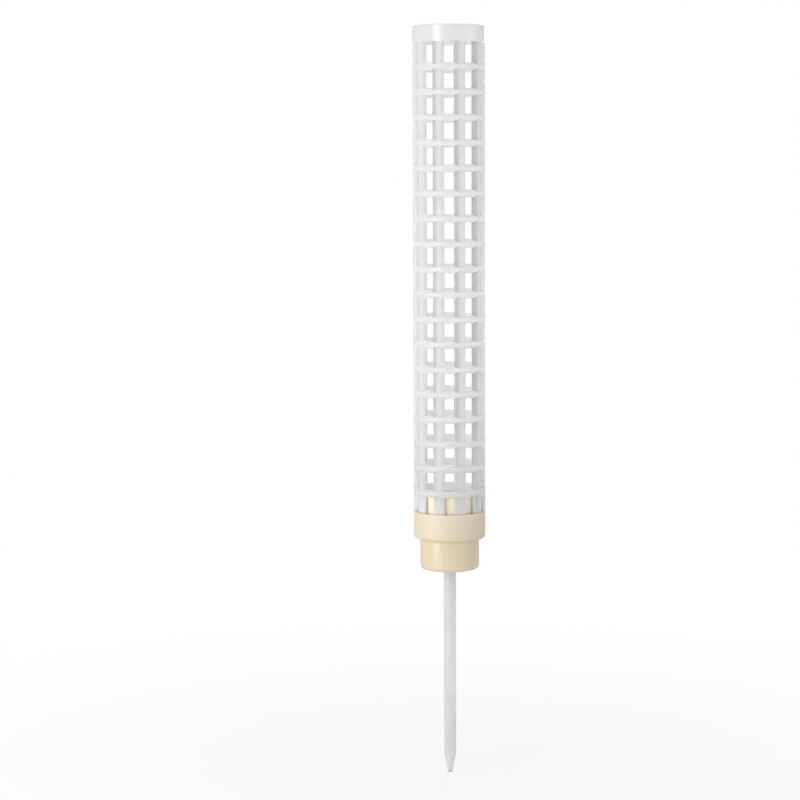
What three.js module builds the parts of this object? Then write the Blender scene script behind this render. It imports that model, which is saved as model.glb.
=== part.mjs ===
// Moss pole: a net sleeve of milky plastic that holds moss and stands in the groove of a
// cream base, with a white stake below that is pushed into the soil of the pot.
// Millimetres, +Z up. The origin is on the axis, in the flat underside of the base, where
// the pole meets the soil. -Y is the front, and +X is to the right of it.
import * as THREE from 'three';

// Base: a boss that stands on the soil, and a wider collar above it with a round groove
const bossRadius = 24;
const bossHeight = 25;
const bossRound = 3.5;
const bossWall = 2;
const bossFloor = 2.2;
const collarHeight = 22.5;
const collarWall = 1.2;
const collarRound = 3.5;
const spigotRise = 13.5;
const spigotWall = 2;
const edgeChamfer = 0.5;

// Net sleeve: upright bars and level rings round square-edged holes, a smooth band at the
// top, and a thinner plain foot that goes down into the groove of the base
const columns = 10;
const rings = 18;
const ringPitch = 20;
const ringHeight = 6;
const holeWidth = 8.4;
const topHoleHeight = 16.2;
const footHoleHeight = 13.7;
const sleeveBore = 25.5;
const holeEdgeWall = 2.8;
const barWall = 3.4;
const ringWall = 3.8;
const bandWall = 3.6;
const bandHeight = 13.6;
const bandBevel = 0.8;
const footWall = 2.1;
const footDepth = 18;
const sillDepth = 1.5;
const shoulderRise = 0.8;

// Stake: a round rod with a blunt tapered point, in the blind socket of the base's hub
const stakeRadius = 5;
const stakeReach = 169.5;
const tipLength = 17.5;
const tipBendHeight = 8.5;
const tipBendRadius = 3.6;
const tipRadius = 2;
const socketDepth = 37;
const socketWall = 2.3;
const socketRoof = 3;

// Clearances: beside pieces that slide into each other, and under pieces that rest
const fitGap = 0.3;
const seatGap = 0.3;

// Fineness of the round pieces: sides round the axis, and half the steps of each fillet
const baseSides = 48;
const stakeSides = 24;
const filletSteps = 2;

// Sizes that follow from the ones above
const columnAngle = 2 * Math.PI / columns;
const holeHalfAngle = holeWidth / 2 / (sleeveBore + holeEdgeWall);
const rimHeight = bossHeight + collarHeight;
const grooveRadius = sleeveBore + footWall + fitGap;
const grooveFloor = rimHeight - footDepth - seatGap;
const collarRadius = grooveRadius + collarWall;
const spigotRadius = sleeveBore * Math.cos(holeHalfAngle) - fitGap;
const spigotTop = rimHeight + spigotRise;
const socketRadius = stakeRadius + fitGap;
const hubRadius = socketRadius + socketWall;
const hubTop = socketDepth + socketRoof;

function plastic(color, roughness) {
  return new THREE.MeshStandardMaterial({ color, roughness, metalness: 0 });
}

// Solid of revolution about Z from an outline of radius and height
function turned(outline, sides) {
  const solid = new THREE.LatheGeometry(outline.getPoints(filletSteps), sides);
  solid.rotateX(Math.PI / 2);
  return solid;
}

// The net's levels from foot to top: height, outer radius on the bars' crests and along the
// holes' edges, and whether holes cut the wall above the level
function netLevels() {
  const foot = sleeveBore + footWall;
  const edge = sleeveBore + holeEdgeWall;
  const bar = sleeveBore + barWall;
  const ring = sleeveBore + ringWall;
  const band = sleeveBore + bandWall;
  const shoulder = rimHeight + seatGap;
  const levels = [
    { z: rimHeight - footDepth, crest: foot, edge: foot, holed: false },
    { z: rimHeight - sillDepth, crest: foot, edge: foot, holed: true },
    { z: shoulder, crest: foot, edge: foot, holed: true },
    { z: shoulder + shoulderRise, crest: bar, edge, holed: true },
  ];
  const firstRing = rimHeight + footHoleHeight;
  for (let row = 0; row < rings; row += 1) {
    const z = firstRing + row * ringPitch;
    levels.push({ z, crest: bar, edge, holed: false });
    levels.push({ z: z + ringHeight / 2, crest: ring, edge: ring, holed: false });
    levels.push({ z: z + ringHeight, crest: bar, edge, holed: true });
  }
  const bandFoot = levels.at(-1).z + topHoleHeight;
  levels.push({ z: bandFoot, crest: bar, edge, holed: false });
  levels.push({ z: bandFoot + bandBevel, crest: band, edge: band, holed: false });
  levels.push({ z: bandFoot + bandHeight, crest: band, edge: band, holed: false });
  return levels;
}

// Upright lines round the sleeve: for each column a bar's crest and a hole's two edges
function netStations() {
  const stations = [];
  for (let column = 0; column < columns; column += 1) {
    const middle = column * columnAngle;
    stations.push({ angle: middle - columnAngle / 2, onCrest: true });
    stations.push({ angle: middle - holeHalfAngle, onCrest: false });
    stations.push({ angle: middle + holeHalfAngle, onCrest: false, afterHole: true });
  }
  return stations;
}

function netSleeve() {
  const levels = netLevels();
  const stations = netStations();
  const top = levels.length - 1;
  const points = [];
  for (const level of levels) {
    for (const station of stations) {
      const outer = station.onCrest ? level.crest : level.edge;
      for (const radius of [sleeveBore, outer]) {
        points.push(new THREE.Vector3(
          radius * Math.sin(station.angle),
          -radius * Math.cos(station.angle),
          level.z,
        ));
      }
    }
  }
  const inside = (i, j) => 2 * (j * stations.length + i % stations.length);
  const outside = (i, j) => inside(i, j) + 1;
  const isHole = (i, j) => levels[j].holed && Boolean(stations[(i + 1) % stations.length].afterHole);
  const faces = [];
  const quad = (a, b, c, d) => faces.push(a, b, c, a, c, d);
  // An outer facet is cut from its lowest corner, so bars and rings meet in mitres
  const mitredQuad = (corners) => {
    const radii = corners.map((corner) => Math.hypot(points[corner].x, points[corner].y));
    const lowest = radii.indexOf(Math.min(...radii));
    quad(...corners.slice(lowest), ...corners.slice(0, lowest));
  };
  for (let i = 0; i < stations.length; i += 1) {
    const next = i + 1;
    quad(inside(next, 0), outside(next, 0), outside(i, 0), inside(i, 0));
    quad(inside(i, top), outside(i, top), outside(next, top), inside(next, top));
    for (let j = 0; j < top; j += 1) {
      const above = j + 1;
      if (!isHole(i, j)) {
        mitredQuad([outside(i, j), outside(next, j), outside(next, above), outside(i, above)]);
        quad(inside(i, above), inside(next, above), inside(next, j), inside(i, j));
        continue;
      }
      quad(inside(i, above), outside(i, above), outside(i, j), inside(i, j));
      quad(inside(next, j), outside(next, j), outside(next, above), inside(next, above));
      if (!isHole(i, j - 1)) {
        quad(inside(i, j), outside(i, j), outside(next, j), inside(next, j));
      }
      if (!isHole(i, above)) {
        quad(inside(next, above), outside(next, above), outside(i, above), inside(i, above));
      }
    }
  }
  const sleeve = new THREE.BufferGeometry().setFromPoints(points);
  sleeve.setIndex(faces);
  sleeve.computeVertexNormals();
  return sleeve;
}

// The hub's socket, then the outer wall upwards, the groove, the spigot and the open well
function basePlug() {
  const wellRadius = bossRadius - bossWall;
  const mouthRadius = spigotRadius - spigotWall;
  const outline = new THREE.Path();
  outline.moveTo(0, socketDepth);
  outline.lineTo(socketRadius, socketDepth);
  outline.lineTo(socketRadius, 0);
  outline.lineTo(bossRadius - bossRound, 0);
  outline.absarc(bossRadius - bossRound, bossRound, bossRound, -Math.PI / 2, 0, false);
  outline.lineTo(bossRadius, bossHeight);
  outline.lineTo(collarRadius - collarRound, bossHeight);
  outline.absarc(collarRadius - collarRound, bossHeight + collarRound, collarRound, -Math.PI / 2, 0, false);
  outline.lineTo(collarRadius, rimHeight - edgeChamfer);
  outline.lineTo(collarRadius - edgeChamfer, rimHeight);
  outline.lineTo(grooveRadius, rimHeight);
  outline.lineTo(grooveRadius, grooveFloor);
  outline.lineTo(spigotRadius, grooveFloor);
  outline.lineTo(spigotRadius, spigotTop - edgeChamfer);
  outline.lineTo(spigotRadius - edgeChamfer, spigotTop);
  outline.lineTo(mouthRadius, spigotTop);
  outline.lineTo(mouthRadius, grooveFloor);
  outline.lineTo(wellRadius, bossHeight);
  outline.lineTo(wellRadius, bossFloor);
  outline.lineTo(hubRadius, bossFloor);
  outline.lineTo(hubRadius, hubTop);
  outline.lineTo(0, hubTop);
  return turned(outline, baseSides);
}

function stakeRod() {
  const rodTop = socketDepth - seatGap;
  const outline = new THREE.Path();
  outline.moveTo(0, -stakeReach);
  outline.lineTo(tipRadius, -stakeReach);
  outline.lineTo(tipBendRadius, tipBendHeight - stakeReach);
  outline.lineTo(stakeRadius, tipLength - stakeReach);
  outline.lineTo(stakeRadius, rodTop - edgeChamfer);
  outline.lineTo(stakeRadius - edgeChamfer, rodTop);
  outline.lineTo(0, rodTop);
  return turned(outline, stakeSides);
}

const mossPole = new THREE.Group();

const sleeveMesh = new THREE.Mesh(netSleeve(), plastic(0xe4e6e7, 0.45));
sleeveMesh.name = 'net_sleeve';
mossPole.add(sleeveMesh);

const baseMesh = new THREE.Mesh(basePlug(), plastic(0xecdcbe, 0.4));
baseMesh.name = 'base_plug';
mossPole.add(baseMesh);

const stakeMesh = new THREE.Mesh(stakeRod(), plastic(0xdfe2dd, 0.4));
stakeMesh.name = 'stake';
mossPole.add(stakeMesh);

export default mossPole;
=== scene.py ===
"""Moss pole: the finished net sleeve, base and stake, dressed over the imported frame."""
import math

import bmesh
import bpy
from mathutils import Euler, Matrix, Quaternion, Vector


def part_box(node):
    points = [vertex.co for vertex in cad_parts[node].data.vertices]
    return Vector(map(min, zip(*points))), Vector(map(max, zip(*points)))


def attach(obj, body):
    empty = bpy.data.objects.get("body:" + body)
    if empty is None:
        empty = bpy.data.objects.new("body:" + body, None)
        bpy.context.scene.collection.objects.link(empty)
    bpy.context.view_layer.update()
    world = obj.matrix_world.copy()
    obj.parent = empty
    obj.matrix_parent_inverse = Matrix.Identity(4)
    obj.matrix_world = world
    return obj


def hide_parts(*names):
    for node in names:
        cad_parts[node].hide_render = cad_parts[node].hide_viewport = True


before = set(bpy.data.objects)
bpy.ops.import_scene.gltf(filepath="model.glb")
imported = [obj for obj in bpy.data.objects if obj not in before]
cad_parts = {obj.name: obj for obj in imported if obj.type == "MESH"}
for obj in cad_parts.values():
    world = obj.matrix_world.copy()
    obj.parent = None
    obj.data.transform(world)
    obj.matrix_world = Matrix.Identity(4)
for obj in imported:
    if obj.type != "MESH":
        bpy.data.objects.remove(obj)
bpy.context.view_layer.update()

# Metres, +Z up, with the origin on the axis in the underside of the base. -Y is the front.
MM = 0.001

# Net sleeve
COLUMNS = 10
STEPS_PER_COLUMN = 16
RINGS = 18
RING_PITCH = 20 * MM
RING_HEIGHT = 6 * MM
RING_STEPS = 8
HOLE_WIDTH = 8.4 * MM
BORE = 25.5 * MM
HOLE_EDGE = 28.3 * MM
BAR_CREST = 28.9 * MM
RING_CREST = 29.3 * MM
BAND_RADIUS = 29.1 * MM
BAND_BEVEL = 0.8 * MM
FOOT_RADIUS = 27.6 * MM
FOOT_HOLE_HEIGHT = 13.7 * MM
TOP_HOLE_HEIGHT = 16.2 * MM
SILL_DEPTH = 1.5 * MM
SHOULDER_RISE = 0.8 * MM
NET_EDGE_ROUND = 0.25 * MM
CROWN_POWER = 2.2

# Base
BOSS_RADIUS = 24 * MM
BOSS_HEIGHT = 25 * MM
BOSS_ROUND = 3.5 * MM
BOSS_FLOOR = 2.2 * MM
COLLAR_HEIGHT = 22.5 * MM
COLLAR_ROUND = 3.5 * MM
RIM_ROUND = 0.45 * MM
GROOVE_RADIUS = 27.9 * MM
GROOVE_DEPTH = 18.3 * MM
SPIGOT_RADIUS = 24.9 * MM
SPIGOT_WALL = 2 * MM
BASE_WALL = 2 * MM
HUB_RADIUS = 7.6 * MM
HUB_TOP = 40 * MM
SOCKET_RADIUS = 5.3 * MM
SOCKET_DEPTH = 37 * MM
BASE_SIDES = 144

# Stake
TIP_BEND_RADIUS = 3.6 * MM
TIP_BEND_HEIGHT = 8.5 * MM
TIP_LENGTH = 17.5 * MM
TIP_RADIUS = 2 * MM
TIP_ROUND = 0.6 * MM
STAKE_SIDES = 64

# Heights that follow from the frame
RIM_HEIGHT = BOSS_HEIGHT + COLLAR_HEIGHT
SLEEVE_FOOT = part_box("net_sleeve")[0].z
SLEEVE_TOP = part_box("net_sleeve")[1].z
SPIGOT_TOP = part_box("base_plug")[1].z
COLLAR_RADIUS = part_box("base_plug")[1].x
STAKE_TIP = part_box("stake")[0].z
STAKE_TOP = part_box("stake")[1].z
STAKE_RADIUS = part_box("stake")[1].x
FIRST_RING = RIM_HEIGHT + FOOT_HOLE_HEIGHT
BAND_FOOT = FIRST_RING + (RINGS - 1) * RING_PITCH + RING_HEIGHT + TOP_HOLE_HEIGHT

# Half angles of a column and of its hole
COLUMN_HALF = math.pi / COLUMNS
HOLE_HALF = HOLE_WIDTH / 2 / HOLE_EDGE


def new_piece(name, bm, body, node, material):
    """Finished mesh of one piece, riding on its body in place of its frame node."""
    smooth_below = math.radians(25)
    mesh = bpy.data.meshes.new(name)
    bm.to_mesh(mesh)
    bm.free()
    mesh.shade_smooth()
    mesh.set_sharp_from_angle(angle=smooth_below)
    mesh.materials.append(material)
    piece = bpy.data.objects.new(name, mesh)
    bpy.context.scene.collection.objects.link(piece)
    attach(piece, body)
    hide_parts(node)


def arc(radius, height, round_radius, start, end, steps=8):
    """Points of radius and height along a fillet, between two angles in degrees."""
    points = []
    for step in range(steps + 1):
        angle = math.radians(start + (end - start) * step / steps)
        points.append((radius + round_radius * math.cos(angle), height + round_radius * math.sin(angle)))
    return points


def turned(outline, sides):
    """Solid of revolution about Z from an outline of radius and height."""
    seam_gap = 0.001 * MM
    bm = bmesh.new()
    verts = [bm.verts.new((radius, 0, height)) for radius, height in outline]
    edges = [bm.edges.new(pair) for pair in zip(verts, verts[1:])]
    bmesh.ops.spin(bm, geom=verts + edges, cent=(0, 0, 0), axis=(0, 0, 1), angle=2 * math.pi,
                   steps=sides, use_merge=True)
    bmesh.ops.remove_doubles(bm, verts=bm.verts[:], dist=seam_gap)
    bmesh.ops.recalc_face_normals(bm, faces=bm.faces[:])
    return bm


# Net sleeve

def net_levels():
    """Heights of the mesh lines round the sleeve, from foot to top."""
    levels = [SLEEVE_FOOT, RIM_HEIGHT - SILL_DEPTH, RIM_HEIGHT, RIM_HEIGHT + SHOULDER_RISE]
    for ring in range(RINGS):
        low = FIRST_RING + ring * RING_PITCH
        levels += [low + RING_HEIGHT * step / RING_STEPS for step in range(RING_STEPS + 1)]
    levels += [BAND_FOOT, BAND_FOOT + BAND_BEVEL, BAND_FOOT + 2 * BAND_BEVEL]
    return levels + [SLEEVE_TOP - BAND_BEVEL, SLEEVE_TOP]


def column_place(point):
    """Signed angle from the middle of the nearest hole; positive to its right from outside."""
    angle = math.atan2(point.x, -point.y)
    return (angle + COLUMN_HALF) % (2 * COLUMN_HALF) - COLUMN_HALF


def in_ring(height):
    """Share from a ring's edge, 0, to its crest, 1, or None away from the rings."""
    slack = 1e-6
    offset = height - FIRST_RING
    row = math.floor(offset / RING_PITCH + slack)
    if not 0 <= row < RINGS:
        return None
    share = 1 - abs(2 * (offset - row * RING_PITCH) / RING_HEIGHT - 1)
    return max(share, 0) if share > -slack else None


def crown(share):
    """Rise of a bar or ring from its edge, 0, to its crest, 1."""
    return 1 - (1 - share) ** CROWN_POWER


def bar_share(point):
    """Share from a hole's side, 0, to the crest of a bar, 1."""
    return max(0, (abs(column_place(point)) - HOLE_HALF) / (COLUMN_HALF - HOLE_HALF))


def bar_rise(point):
    return (BAR_CREST - HOLE_EDGE) * crown(bar_share(point))


def ring_rise(point):
    share = in_ring(point.z)
    return 0 if share is None else (RING_CREST - HOLE_EDGE) * crown(share)


def outer_radius(point):
    """Radius of the sleeve's outer face at the height and side of a point."""
    if point.z < RIM_HEIGHT + SHOULDER_RISE / 2:
        return FOOT_RADIUS
    if point.z > BAND_FOOT + BAND_BEVEL / 2:
        return BAND_RADIUS
    return HOLE_EDGE + max(bar_rise(point), ring_rise(point))


def is_hole(point):
    """Whether the wall is open here."""
    if not RIM_HEIGHT - SILL_DEPTH < point.z < BAND_FOOT:
        return False
    return in_ring(point.z) is None and abs(column_place(point)) < HOLE_HALF


def ramp(value, start, end, low, high):
    """Value carried from start and end over to low and high, and held beyond them."""
    share = min(max((value - start) / (end - start), 0), 1)
    return low + (high - low) * share


def along(stops, share):
    """Value at a share along a row of stops, each a share and a value."""
    for (start, low), (end, high) in zip(stops, stops[1:]):
        if share <= end:
            return ramp(share, start, end, low, high)
    return stops[-1][1]


def painted_shade(point):
    """How much painted shade the net gets: none in the bore, which is painted white as if lit,
    little on the rings, and most on the left of a bar.

    The wall of a hole has painted shade on its right and none on its left. The painted shade is lighter
    at the foot, and towards the left of the front and of the back. The bars at the two sides have one
    even painted shade.
    """
    plain = 0.06
    side_bar = 0.38
    side_bar_half = 6 * MM
    foot_share = 0.25
    low_share = 0.6
    low_reach = 3 * RING_PITCH
    left_share = 0.55
    left_end = -21.2 * MM
    left_start = -14 * MM
    edge_slack = 0.02
    rise_slack = 0.2 * MM
    # Painted shade across a bar, darkest at its left edge
    across_bar = [(0, 0.86), (0.15, 0.86), (0.35, 0.7), (0.5, 0.48),
                  (0.65, 0.42), (0.8, 0.46), (0.9, 0.5), (1, 0.5)]
    place = column_place(point)
    white_to = BORE if place > 0 else HOLE_EDGE - NET_EDGE_ROUND
    outer = ramp(point.xy.length, white_to, white_to + NET_EDGE_ROUND, 0, 1)
    if abs(place) < HOLE_HALF - edge_slack or ring_rise(point) > bar_rise(point) + rise_slack:
        return plain * outer
    if not RIM_HEIGHT - SILL_DEPTH < point.z < BAND_FOOT + BAND_BEVEL / 2:
        return plain * outer
    # Less painted shade at the foot and in the lowest rows of holes
    if point.z < FIRST_RING:
        outer *= foot_share
    # The bars at the two sides get one even painted shade
    if abs(point.y) < side_bar_half:
        return side_bar * outer
    outer *= ramp(point.z, FIRST_RING, FIRST_RING + low_reach, low_share, 1)
    # Less painted shade on the bars towards the left of the front and of the back
    rightwards = math.copysign(point.x, -point.x * point.y)
    outer *= ramp(rightwards, left_end, left_start, left_share, 1)
    share = bar_share(point) / 2 if place > 0 else 1 - bar_share(point) / 2
    return outer * along(across_bar, share)


def set_side(vert):
    """Moves an evenly spaced point so that mesh lines lie on the sides of the holes."""
    place = column_place(vert.co)
    even_half = COLUMN_HALF / 2
    if abs(place) <= even_half:
        moved = abs(place) * HOLE_HALF / even_half
    else:
        moved = HOLE_HALF + (abs(place) - even_half) * (COLUMN_HALF - HOLE_HALF) / even_half
    turn = math.copysign(moved, place) - place
    vert.co.rotate(Euler((0, 0, turn)))


def set_radius(vert, radius):
    vert.co.xy = vert.co.xy.normalized() * radius


def net_sleeve(material):
    """Ring drawn up level by level, opened at the holes, thickened, shaped and rounded at its edges."""
    round_above = math.radians(50)
    bm = bmesh.new()
    levels = net_levels()
    ring = bmesh.ops.create_circle(bm, segments=COLUMNS * STEPS_PER_COLUMN, radius=BAND_RADIUS)
    bmesh.ops.translate(bm, verts=ring["verts"], vec=(0, 0, levels[0]))
    for vert in ring["verts"]:
        set_side(vert)
    edges = bm.edges[:]
    for low, high in zip(levels, levels[1:]):
        lifted = bmesh.ops.extrude_edge_only(bm, edges=edges)["geom"]
        verts = [part for part in lifted if isinstance(part, bmesh.types.BMVert)]
        bmesh.ops.translate(bm, verts=verts, vec=(0, 0, high - low))
        fresh = set(verts)
        edges = [part for part in lifted
                 if isinstance(part, bmesh.types.BMEdge) and fresh.issuperset(part.verts)]
    holes = [face for face in bm.faces if is_hole(face.calc_center_median())]
    bmesh.ops.delete(bm, geom=holes, context="FACES")
    bmesh.ops.recalc_face_normals(bm, faces=bm.faces[:])
    bmesh.ops.solidify(bm, geom=bm.faces[:], thickness=BAND_RADIUS - BORE)
    middle = (BAND_RADIUS + BORE) / 2
    for vert in bm.verts:
        outside = vert.co.xy.length > middle
        set_radius(vert, outer_radius(vert.co) if outside else BORE)
    bmesh.ops.recalc_face_normals(bm, faces=bm.faces[:])
    sharp = [edge for edge in bm.edges if edge.calc_face_angle(0) > round_above]
    bmesh.ops.bevel(bm, geom=sharp, offset=NET_EDGE_ROUND, offset_type="OFFSET", segments=2,
                    profile=0.5, affect="EDGES", material=-1)
    shade_paint = bm.verts.layers.float.new("painted_shade")
    # Painted shade for each vertex, mixed into the net's colour by its material
    for vert in bm.verts:
        vert[shade_paint] = painted_shade(vert.co)
    new_piece("net_sleeve_finish", bm, "sleeve", "net_sleeve", material)


# Base and stake

def base_plug(material):
    """Hub's socket, boss, collar with its groove, spigot and open well, turned in one outline."""
    well = BOSS_RADIUS - BASE_WALL
    mouth = SPIGOT_RADIUS - SPIGOT_WALL
    groove_floor = RIM_HEIGHT - GROOVE_DEPTH
    outline = [(0, SOCKET_DEPTH), (SOCKET_RADIUS, SOCKET_DEPTH), (SOCKET_RADIUS, 0)]
    outline += arc(BOSS_RADIUS - BOSS_ROUND, BOSS_ROUND, BOSS_ROUND, -90, 0)
    outline += [(BOSS_RADIUS, BOSS_HEIGHT)]
    outline += arc(COLLAR_RADIUS - COLLAR_ROUND, BOSS_HEIGHT + COLLAR_ROUND, COLLAR_ROUND, -90, 0)
    outline += arc(COLLAR_RADIUS - RIM_ROUND, RIM_HEIGHT - RIM_ROUND, RIM_ROUND, 0, 90, steps=4)
    outline += [(GROOVE_RADIUS, RIM_HEIGHT), (GROOVE_RADIUS, groove_floor)]
    outline += [(SPIGOT_RADIUS, groove_floor)]
    outline += arc(SPIGOT_RADIUS - RIM_ROUND, SPIGOT_TOP - RIM_ROUND, RIM_ROUND, 0, 90, steps=4)
    outline += [(mouth, SPIGOT_TOP), (mouth, groove_floor), (well, BOSS_HEIGHT), (well, BOSS_FLOOR)]
    outline += [(HUB_RADIUS, BOSS_FLOOR), (HUB_RADIUS, HUB_TOP), (0, HUB_TOP)]
    bm = turned(outline, BASE_SIDES)
    new_piece("base_plug_finish", bm, "base", "base_plug", material)


def stake(material):
    """Round rod, with a blunt point that tapers in two stretches."""
    outline = [(0, STAKE_TIP)]
    outline += arc(TIP_RADIUS - TIP_ROUND, STAKE_TIP + TIP_ROUND, TIP_ROUND, -90, 0, steps=5)
    outline += [(TIP_BEND_RADIUS, STAKE_TIP + TIP_BEND_HEIGHT), (STAKE_RADIUS, STAKE_TIP + TIP_LENGTH)]
    outline += arc(STAKE_RADIUS - TIP_ROUND, STAKE_TOP - TIP_ROUND, TIP_ROUND, 0, 90, steps=5)
    outline += [(0, STAKE_TOP)]
    bm = turned(outline, STAKE_SIDES)
    new_piece("stake_finish", bm, "stake", "stake", material)


# Materials

def mottle_group():
    """Soft uneven tone and fine grain of moulded plastic, shared by the three finishes."""
    group = bpy.data.node_groups.new("moulded_mottle", "ShaderNodeTree")
    group.interface.new_socket("Tone", in_out="INPUT", socket_type="NodeSocketColor")
    group.interface.new_socket("Uneven", in_out="INPUT", socket_type="NodeSocketFloat")
    group.interface.new_socket("Roughness", in_out="INPUT", socket_type="NodeSocketFloat")
    group.interface.new_socket("Color", in_out="OUTPUT", socket_type="NodeSocketColor")
    group.interface.new_socket("Roughness", in_out="OUTPUT", socket_type="NodeSocketFloat")
    group.interface.new_socket("Height", in_out="OUTPUT", socket_type="NodeSocketFloat")
    nodes, link = group.nodes, group.links.new
    entry = nodes.new("NodeGroupInput")
    out = nodes.new("NodeGroupOutput")
    place = nodes.new("ShaderNodeTexCoord")
    cloud = nodes.new("ShaderNodeTexNoise")
    cloud.inputs["Scale"].default_value = 45
    cloud.inputs["Detail"].default_value = 3
    grain = nodes.new("ShaderNodeTexNoise")
    grain.inputs["Scale"].default_value = 1400
    grain.inputs["Detail"].default_value = 2
    for noise in (cloud, grain):
        link(place.outputs["Object"], noise.inputs["Vector"])
    centred = nodes.new("ShaderNodeMath")
    centred.operation = "SUBTRACT"
    centred.inputs[1].default_value = 0.5
    link(cloud.outputs["Fac"], centred.inputs[0])
    swing = nodes.new("ShaderNodeMath")
    swing.operation = "MULTIPLY_ADD"
    swing.inputs[2].default_value = 1
    link(centred.outputs[0], swing.inputs[0])
    link(entry.outputs["Uneven"], swing.inputs[1])
    toned = nodes.new("ShaderNodeVectorMath")
    toned.operation = "SCALE"
    link(entry.outputs["Tone"], toned.inputs[0])
    link(swing.outputs[0], toned.inputs["Scale"])
    gloss = nodes.new("ShaderNodeMath")
    gloss.operation = "MULTIPLY"
    link(entry.outputs["Roughness"], gloss.inputs[0])
    link(swing.outputs[0], gloss.inputs[1])
    link(toned.outputs[0], out.inputs["Color"])
    link(gloss.outputs[0], out.inputs["Roughness"])
    link(grain.outputs["Fac"], out.inputs["Height"])
    return group


def plastic(name, mottle, tone, uneven, roughness, bump):
    """Moulded plastic with the shared mottle; returns the material, its shader and its mottle node."""
    material = bpy.data.materials.new(name)
    material.use_nodes = True
    nodes, link = material.node_tree.nodes, material.node_tree.links.new
    shader = nodes["Principled BSDF"]
    surface = nodes.new("ShaderNodeGroup")
    surface.node_tree = mottle
    surface.inputs["Tone"].default_value = (*tone, 1)
    surface.inputs["Uneven"].default_value = uneven
    surface.inputs["Roughness"].default_value = roughness
    relief = nodes.new("ShaderNodeBump")
    relief.inputs["Strength"].default_value = bump
    relief.inputs["Distance"].default_value = 0.05 * MM
    link(surface.outputs["Color"], shader.inputs["Base Color"])
    link(surface.outputs["Roughness"], shader.inputs["Roughness"])
    link(surface.outputs["Height"], relief.inputs["Height"])
    link(relief.outputs["Normal"], shader.inputs["Normal"])
    return material, shader, surface


def milky_plastic(mottle):
    """Translucent milky net with a glossier band and painted shade from the mesh mixed into its colour;
    paler and less translucent at the foot, where the painted shade is lighter too.
    """
    body_tone = (0.96, 0.965, 0.97)
    # Colour of the painted shade on the net
    painted_shade_tone = (0.23, 0.235, 0.24)
    net_roughness = 0.5
    band_roughness = 0.17
    foot_depth = 0.5
    foot_fade = 2 * MM
    material, shader, surface = plastic("milky_plastic", mottle, body_tone, uneven=0.05,
                                        roughness=net_roughness, bump=0.12)
    nodes, link = material.node_tree.nodes, material.node_tree.links.new
    # The painted shade from the mesh darkens the net's colour towards the painted shade tone
    shade_paint = nodes.new("ShaderNodeAttribute")
    shade_paint.attribute_name = "painted_shade"
    tone = nodes.new("ShaderNodeMix")
    tone.data_type = "RGBA"
    tone.inputs["A"].default_value = (*body_tone, 1)
    tone.inputs["B"].default_value = (*painted_shade_tone, 1)
    link(shade_paint.outputs["Fac"], tone.inputs["Factor"])
    link(tone.outputs["Result"], surface.inputs["Tone"])
    place = nodes.new("ShaderNodeTexCoord")
    split = nodes.new("ShaderNodeSeparateXYZ")
    smoother = nodes.new("ShaderNodeMapRange")
    smoother.inputs["From Min"].default_value = BAND_FOOT
    smoother.inputs["From Max"].default_value = BAND_FOOT + BAND_BEVEL
    smoother.inputs["To Min"].default_value = net_roughness
    smoother.inputs["To Max"].default_value = band_roughness
    link(place.outputs["Object"], split.inputs["Vector"])
    link(split.outputs["Z"], smoother.inputs["Value"])
    link(smoother.outputs["Result"], surface.inputs["Roughness"])
    milkier = nodes.new("ShaderNodeMapRange")
    milkier.inputs["From Min"].default_value = FIRST_RING - foot_fade
    milkier.inputs["From Max"].default_value = FIRST_RING
    milkier.inputs["To Min"].default_value = foot_depth
    link(split.outputs["Z"], milkier.inputs["Value"])
    link(milkier.outputs["Result"], shader.inputs["Subsurface Weight"])
    shader.inputs["Specular IOR Level"].default_value = 0.65
    shader.inputs["Subsurface Radius"].default_value = (1, 1, 1)
    shader.inputs["Subsurface Scale"].default_value = 30 * MM
    return material


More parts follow.
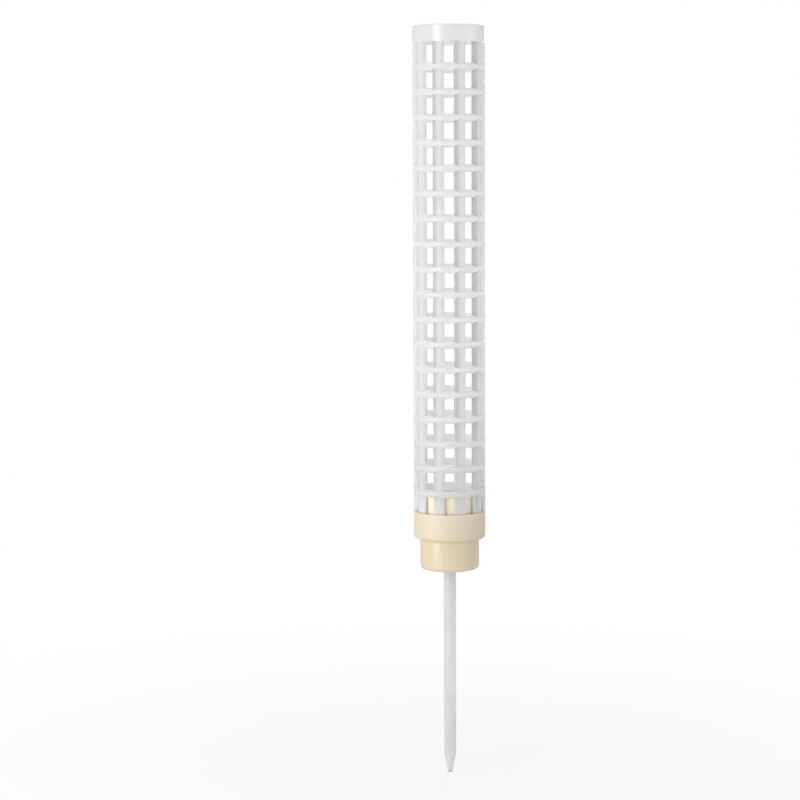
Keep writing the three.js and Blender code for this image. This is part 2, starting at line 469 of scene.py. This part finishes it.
def cream_plastic(mottle):
    """Cream base, paler and less glossy in the collar and spigot than in the boss, with painted light on
    the spigot, which sits in the shade of the net.
    """
    boss_tone = (0.79, 0.67, 0.465)
    collar_tone = (0.81, 0.695, 0.53)
    # Brighter than the rest of the cream: painted light on the spigot, which sits in the shade of the
    # net
    spigot_painted_light_tone = (1, 0.86, 0.66)
    rim_fade = 0.02
    boss_roughness = 0.26
    collar_roughness = 0.5
    material, shader, surface = plastic("cream_plastic", mottle, boss_tone, uneven=0.05,
                                        roughness=boss_roughness, bump=0.1)
    nodes, link = material.node_tree.nodes, material.node_tree.links.new
    place = nodes.new("ShaderNodeTexCoord")
    split = nodes.new("ShaderNodeSeparateXYZ")
    height = nodes.new("ShaderNodeMapRange")
    height.inputs["From Max"].default_value = SPIGOT_TOP
    tone = nodes.new("ShaderNodeValToRGB")
    stops = tone.color_ramp.elements
    stops[0].position = BOSS_HEIGHT / SPIGOT_TOP
    stops[0].color = (*boss_tone, 1)
    # The spigot's painted light begins just above the rim
    stops[1].position = RIM_HEIGHT / SPIGOT_TOP + rim_fade
    stops[1].color = (*spigot_painted_light_tone, 1)
    for edge in (BOSS_HEIGHT + 2 * COLLAR_ROUND, RIM_HEIGHT):
        stops.new(edge / SPIGOT_TOP).color = (*collar_tone, 1)
    link(place.outputs["Object"], split.inputs["Vector"])
    link(split.outputs["Z"], height.inputs["Value"])
    link(height.outputs["Result"], tone.inputs["Fac"])
    link(tone.outputs["Color"], surface.inputs["Tone"])
    matter = nodes.new("ShaderNodeMapRange")
    matter.inputs["From Min"].default_value = BOSS_HEIGHT
    matter.inputs["From Max"].default_value = BOSS_HEIGHT + COLLAR_ROUND
    matter.inputs["To Min"].default_value = boss_roughness
    matter.inputs["To Max"].default_value = collar_roughness
    link(split.outputs["Z"], matter.inputs["Value"])
    link(matter.outputs["Result"], surface.inputs["Roughness"])
    shader.inputs["Specular IOR Level"].default_value = 0.8
    shader.inputs["Subsurface Weight"].default_value = 0.25
    shader.inputs["Subsurface Radius"].default_value = (1, 0.8, 0.5)
    shader.inputs["Subsurface Scale"].default_value = 3 * MM
    return material


def white_plastic(mottle):
    """White stake, which light reaches deep into."""
    stake_tone = (0.575, 0.59, 0.57)
    material, shader, _ = plastic("white_plastic", mottle, stake_tone, uneven=0.05,
                                  roughness=0.45, bump=0.12)
    shader.inputs["Subsurface Weight"].default_value = 1
    shader.inputs["Subsurface Radius"].default_value = (1, 1, 1)
    shader.inputs["Subsurface Scale"].default_value = 20 * MM
    return material


# Stage, light and camera

def seen_directly(nodes, link):
    """1 for rays that show the white background: camera and see-through rays."""
    path = nodes.new("ShaderNodeLightPath")
    either = nodes.new("ShaderNodeMath")
    either.operation = "MAXIMUM"
    link(path.outputs["Is Camera Ray"], either.inputs[0])
    link(path.outputs["Is Transmission Ray"], either.inputs[1])
    return either.outputs[0]


def pale_floor():
    """Floor at the stake's tip, white to the camera apart from the soft shadow near the pole."""
    half_width = 6
    near_share = 0.8
    white_from = 0.7
    bm = bmesh.new()
    bmesh.ops.create_grid(bm, x_segments=1, y_segments=1, size=half_width)
    bmesh.ops.translate(bm, verts=bm.verts[:], vec=(0, 0, STAKE_TIP))
    mesh = bpy.data.meshes.new("floor")
    bm.to_mesh(mesh)
    bm.free()
    floor = bpy.data.objects.new("floor", mesh)
    bpy.context.scene.collection.objects.link(floor)
    material = bpy.data.materials.new("pale_floor")
    material.use_nodes = True
    nodes, link = material.node_tree.nodes, material.node_tree.links.new
    shader = nodes["Principled BSDF"]
    shader.inputs["Base Color"].default_value = (0.88, 0.88, 0.88, 1)
    shader.inputs["Roughness"].default_value = 0.9
    shader.inputs["Specular IOR Level"].default_value = 0
    white = nodes.new("ShaderNodeEmission")
    place = nodes.new("ShaderNodeTexCoord")
    flat = nodes.new("ShaderNodeVectorMath")
    flat.operation = "MULTIPLY"
    flat.inputs[1].default_value = (1, 1, 0)
    away = nodes.new("ShaderNodeVectorMath")
    away.operation = "LENGTH"
    whiter = nodes.new("ShaderNodeMapRange")
    whiter.interpolation_type = "SMOOTHSTEP"
    whiter.inputs["From Max"].default_value = white_from
    whiter.inputs["To Min"].default_value = near_share
    share = nodes.new("ShaderNodeMath")
    share.operation = "MULTIPLY"
    both = nodes.new("ShaderNodeMixShader")
    link(place.outputs["Object"], flat.inputs[0])
    link(flat.outputs["Vector"], away.inputs[0])
    link(away.outputs["Value"], whiter.inputs["Value"])
    link(seen_directly(nodes, link), share.inputs[0])
    link(whiter.outputs["Result"], share.inputs[1])
    link(share.outputs[0], both.inputs["Fac"])
    link(shader.outputs["BSDF"], both.inputs[1])
    link(white.outputs["Emission"], both.inputs[2])
    link(both.outputs["Shader"], nodes["Material Output"].inputs["Surface"])
    mesh.materials.append(material)


def white_world():
    """Soft light all round, stronger from the left, with a background that shows as white."""
    left_strength = 0.69
    right_strength = 0.53
    world = bpy.data.worlds.new("studio")
    world.use_nodes = True
    bpy.context.scene.world = world
    nodes, link = world.node_tree.nodes, world.node_tree.links.new
    background = nodes["Background"]
    background.inputs["Color"].default_value = (1, 1, 1, 1)
    toward = nodes.new("ShaderNodeTexCoord")
    split = nodes.new("ShaderNodeSeparateXYZ")
    ambient = nodes.new("ShaderNodeMapRange")
    ambient.inputs["From Min"].default_value = -1
    ambient.inputs["To Min"].default_value = left_strength
    ambient.inputs["To Max"].default_value = right_strength
    strength = nodes.new("ShaderNodeMapRange")
    strength.inputs["To Max"].default_value = 1
    link(toward.outputs["Generated"], split.inputs["Vector"])
    link(split.outputs["X"], ambient.inputs["Value"])
    link(ambient.outputs["Result"], strength.inputs["To Min"])
    link(seen_directly(nodes, link), strength.inputs["Value"])
    link(strength.outputs["Result"], background.inputs["Strength"])


def softbox(name, azimuth, distance, height, width, length, power, spread=180, lean=0):
    """Area lamp that faces the pole; azimuth 0 is the front, 90 the right, and lean tips it sideways."""
    aim = Vector((0, 0, height))
    side = math.radians(azimuth)
    place = Vector((math.sin(side) * distance, -math.cos(side) * distance, height))
    lamp = bpy.data.lights.new(name, "AREA")
    lamp.shape = "RECTANGLE"
    lamp.size = width
    lamp.size_y = length
    lamp.energy = power
    lamp.spread = math.radians(spread)
    holder = bpy.data.objects.new(name, lamp)
    holder.location = place
    facing = (aim - place).to_track_quat("-Z", "Y")
    holder.rotation_euler = (facing @ Quaternion((0, 0, 1), -math.radians(lean))).to_euler()
    bpy.context.scene.collection.objects.link(holder)


def camera():
    """In front of the pole and a little above its middle, with the pole right of centre."""
    distance = 1.8
    height = 0.3119
    pitch_down = 5.525
    roll = 0.24
    heading_left = 1.252
    lens = bpy.data.cameras.new("camera")
    lens.sensor_width = 36
    lens.lens = 100.46
    lens.clip_start = 0.05
    lens.clip_end = 50
    holder = bpy.data.objects.new("camera", lens)
    holder.location = (0, -distance, height)
    holder.rotation_euler = Euler([math.radians(turn) for turn in (90 - pitch_down, roll, heading_left)])
    bpy.context.scene.collection.objects.link(holder)
    bpy.context.scene.camera = holder


shared_mottle = mottle_group()
net_sleeve(milky_plastic(shared_mottle))
base_plug(cream_plastic(shared_mottle))
stake(white_plastic(shared_mottle))

pale_floor()
white_world()
softbox("key", azimuth=-44, distance=0.95, height=0.2, width=0.4, length=0.94, power=4.8, lean=24)
softbox("side", azimuth=74, distance=0.4, height=0.262, width=0.5, length=0.4, power=0.2, spread=60)
softbox("back", azimuth=172, distance=1.3, height=0.3, width=0.6, length=0.9, power=4)
softbox("low", azimuth=60, distance=0.8, height=-0.09, width=0.12, length=0.12, power=0.014, spread=12)
camera()
bpy.context.scene.view_settings.view_transform = "Standard"
